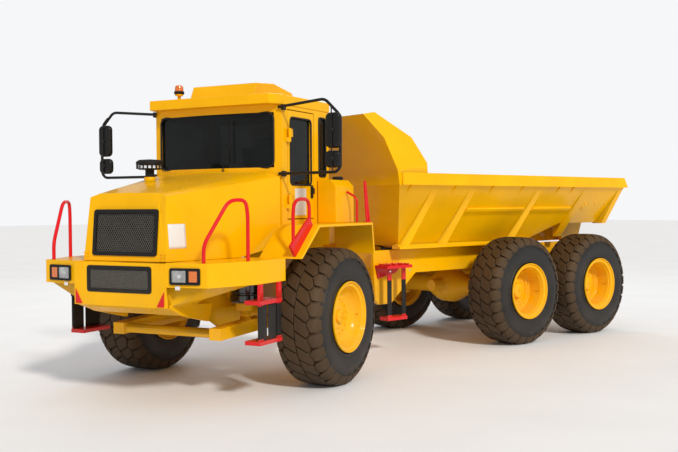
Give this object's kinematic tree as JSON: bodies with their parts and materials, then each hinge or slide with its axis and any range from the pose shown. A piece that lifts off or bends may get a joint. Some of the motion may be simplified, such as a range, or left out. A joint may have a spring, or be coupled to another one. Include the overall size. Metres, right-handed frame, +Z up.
{
  "type": "articulated dump truck",
  "caption": "Articulated dump truck with a steered front unit, tipping load bed, tilting hood, opening cab door, rolling wheels and coupled hoist and steering cylinders.",
  "frame": {"origin": "on the ground, under the middle of the truck's box", "axes": "+Z up, +Y towards the truck's tail along its rear unit, +X to the truck's left; the front unit rests turned 21.66 degrees to the left"},
  "size_m": [3.748, 9.072, 3.3708],
  "materials": {
    "yellow": "gloss",
    "red": "semi-gloss",
    "black": "satin",
    "iron": "painted, dusty",
    "steel": "polished",
    "tyre": "matt",
    "glass": "tinted",
    "fabric": "woven"
  },
  "bodies": {
    "rear_unit": {"rear_frame": "yellow", "walking_beams": "yellow", "mid_axle": "iron", "rear_axle": "iron", "frame_step_left": "red", "frame_step_right": "red"},
    "dump_bed": {"dump_body": "yellow"},
    "hoist_cylinder_left": {"hoist_barrel_left": "yellow"},
    "hoist_cylinder_right": {"hoist_barrel_right": "yellow"},
    "hoist_ram_left": {"hoist_rod_left": "steel"},
    "hoist_ram_right": {"hoist_rod_right": "steel"},
    "hitch": {"articulation_hitch": "yellow"},
    "front_unit": {"front_frame": "yellow", "front_axle": "yellow", "engine": "iron", "front_fascia": "yellow", "lower_grille": "black", "cab_shell": "yellow", "cab_roof": "yellow", "roof_unit": "yellow", "windscreen": "glass", "side_glass_right": "glass", "quarter_glass_left": "glass", "rear_glass": "glass", "seat": "fabric", "steering_wheel": "black", "mudguard_left": "yellow", "mudguard_right": "yellow", "hydraulic_tank": "yellow", "fuel_tank": "yellow", "handrail_front_left": "red", "handrail_front_right": "red", "access_step": "red", "hanging_step_left": "red", "hanging_step_right": "red", "mirror_left": "black", "mirror_right": "black"},
    "engine_hood": {"hood": "yellow", "upper_grille": "black", "air_cleaner": "black"},
    "door": {"cab_door": "yellow", "door_glass": "glass"},
    "steering_cylinder_left": {"steering_barrel_left": "yellow"},
    "steering_cylinder_right": {"steering_barrel_right": "yellow"},
    "steering_ram_left": {"steering_rod_left": "steel"},
    "steering_ram_right": {"steering_rod_right": "steel"},
    "front_wheel_left": {"front_tyre_left": "tyre", "front_rim_left": "yellow"},
    "front_wheel_right": {"front_tyre_right": "tyre", "front_rim_right": "yellow"},
    "mid_wheel_left": {"mid_tyre_left": "tyre", "mid_rim_left": "yellow"},
    "mid_wheel_right": {"mid_tyre_right": "tyre", "mid_rim_right": "yellow"},
    "rear_wheel_left": {"rear_tyre_left": "tyre", "rear_rim_left": "yellow"},
    "rear_wheel_right": {"rear_tyre_right": "tyre", "rear_rim_right": "yellow"}
  },
  "joints": [
    {"name": "mid_wheel_left_spin", "type": "hinge", "parent": "rear_unit", "child": "mid_wheel_left", "pos_m": [0.84, 1.98698, 0.74854], "axis": [1, 0, 0], "continuous": true},
    {"name": "mid_wheel_right_spin", "type": "hinge", "parent": "rear_unit", "child": "mid_wheel_right", "pos_m": [-1.587, 1.98698, 0.74854], "axis": [1, 0, 0], "continuous": true},
    {"name": "rear_wheel_left_spin", "type": "hinge", "parent": "rear_unit", "child": "rear_wheel_left", "pos_m": [0.84, 3.69098, 0.74854], "axis": [1, 0, 0], "continuous": true},
    {"name": "rear_wheel_right_spin", "type": "hinge", "parent": "rear_unit", "child": "rear_wheel_right", "pos_m": [-1.587, 3.69098, 0.74854], "axis": [1, 0, 0], "continuous": true},
    {"name": "bed_tip", "type": "hinge", "parent": "rear_unit", "child": "dump_bed", "pos_m": [-0.3735, 4.08598, 1.2], "axis": [-1, 0, 0], "range_deg": [0, 70]},
    {"name": "hoist_swing_left", "type": "hinge", "parent": "rear_unit", "child": "hoist_cylinder_left", "pos_m": [0.0065, 1.18598, 1.12], "axis": [1, 0, 0], "range_deg": [0, 11]},
    {"name": "hoist_stroke_left", "type": "slide", "parent": "hoist_cylinder_left", "child": "hoist_ram_left", "axis": [0, 0.9953, 0.0973], "range_m": [0, 0.6]},
    {"name": "hoist_swing_right", "type": "hinge", "parent": "rear_unit", "child": "hoist_cylinder_right", "pos_m": [-0.7535, 1.18598, 1.12], "axis": [1, 0, 0], "range_deg": [0, 11]},
    {"name": "hoist_stroke_right", "type": "slide", "parent": "hoist_cylinder_right", "child": "hoist_ram_right", "axis": [0, 0.9953, 0.0973], "range_m": [0, 0.6]},
    {"name": "hitch_roll", "type": "hinge", "parent": "rear_unit", "child": "hitch", "pos_m": [-0.3735, -0.31402, 0.94], "axis": [0, 1, 0], "range_deg": [-10, 10]},
    {"name": "steer", "type": "hinge", "parent": "hitch", "child": "front_unit", "pos_m": [-0.3735, -0.91402, 0.94], "axis": [0, 0, 1], "range_deg": [-63.66, 20.34]},
    {"name": "front_wheel_left_spin", "type": "hinge", "parent": "front_unit", "child": "front_wheel_left", "pos_m": [1.32494, -1.90296, 0.74854], "axis": [0.9294, 0.3691, 0], "continuous": true},
    {"name": "front_wheel_right_spin", "type": "hinge", "parent": "front_unit", "child": "front_wheel_right", "pos_m": [-0.93069, -2.79876, 0.74854], "axis": [0.9294, 0.3691, 0], "continuous": true},
    {"name": "hood_tilt", "type": "hinge", "parent": "front_unit", "child": "engine_hood", "pos_m": [0.92942, -4.19477, 1.425], "axis": [0.9294, 0.3691, 0], "range_deg": [0, 60]},
    {"name": "door_swing", "type": "hinge", "parent": "front_unit", "child": "door", "pos_m": [1.10305, -2.23425, 2.415], "axis": [0, 0, -1], "range_deg": [0, 80]},
    {"name": "steering_swing_left", "type": "hinge", "parent": "front_unit", "child": "steering_cylinder_left", "pos_m": [0.21892, -1.64712, 0.9975], "axis": [0, 0, 1], "range_deg": [-2, 6]},
    {"name": "steering_stroke_left", "type": "slide", "parent": "steering_cylinder_left", "child": "steering_ram_left", "axis": [-0.3412, 0.94, 0], "range_m": [-0.1, 0.306]},
    {"name": "steering_swing_right", "type": "hinge", "parent": "front_unit", "child": "steering_cylinder_right", "pos_m": [-0.30154, -1.85382, 0.9975], "axis": [0, 0, 1], "range_deg": [-2, 6]},
    {"name": "steering_stroke_right", "type": "slide", "parent": "steering_cylinder_right", "child": "steering_ram_right", "axis": [-0.3288, 0.9444, 0], "range_m": [-0.306, 0.1]}
  ],
  "couplings": [
    {"joint": "hoist_swing_left", "follows": "bed_tip", "ratio": 0.15575},
    {"joint": "hoist_stroke_left", "follows": "bed_tip", "m_per_rad": 0.48482},
    {"joint": "steering_swing_left", "follows": "steer", "ratio": -0.09341},
    {"joint": "steering_stroke_left", "follows": "steer", "m_per_rad": -0.27308},
    {"joint": "hoist_swing_right", "follows": "bed_tip", "ratio": 0.15575},
    {"joint": "hoist_stroke_right", "follows": "bed_tip", "m_per_rad": 0.48482},
    {"joint": "steering_swing_right", "follows": "steer", "ratio": -0.09307},
    {"joint": "steering_stroke_right", "follows": "steer", "m_per_rad": 0.27347}
  ]
}
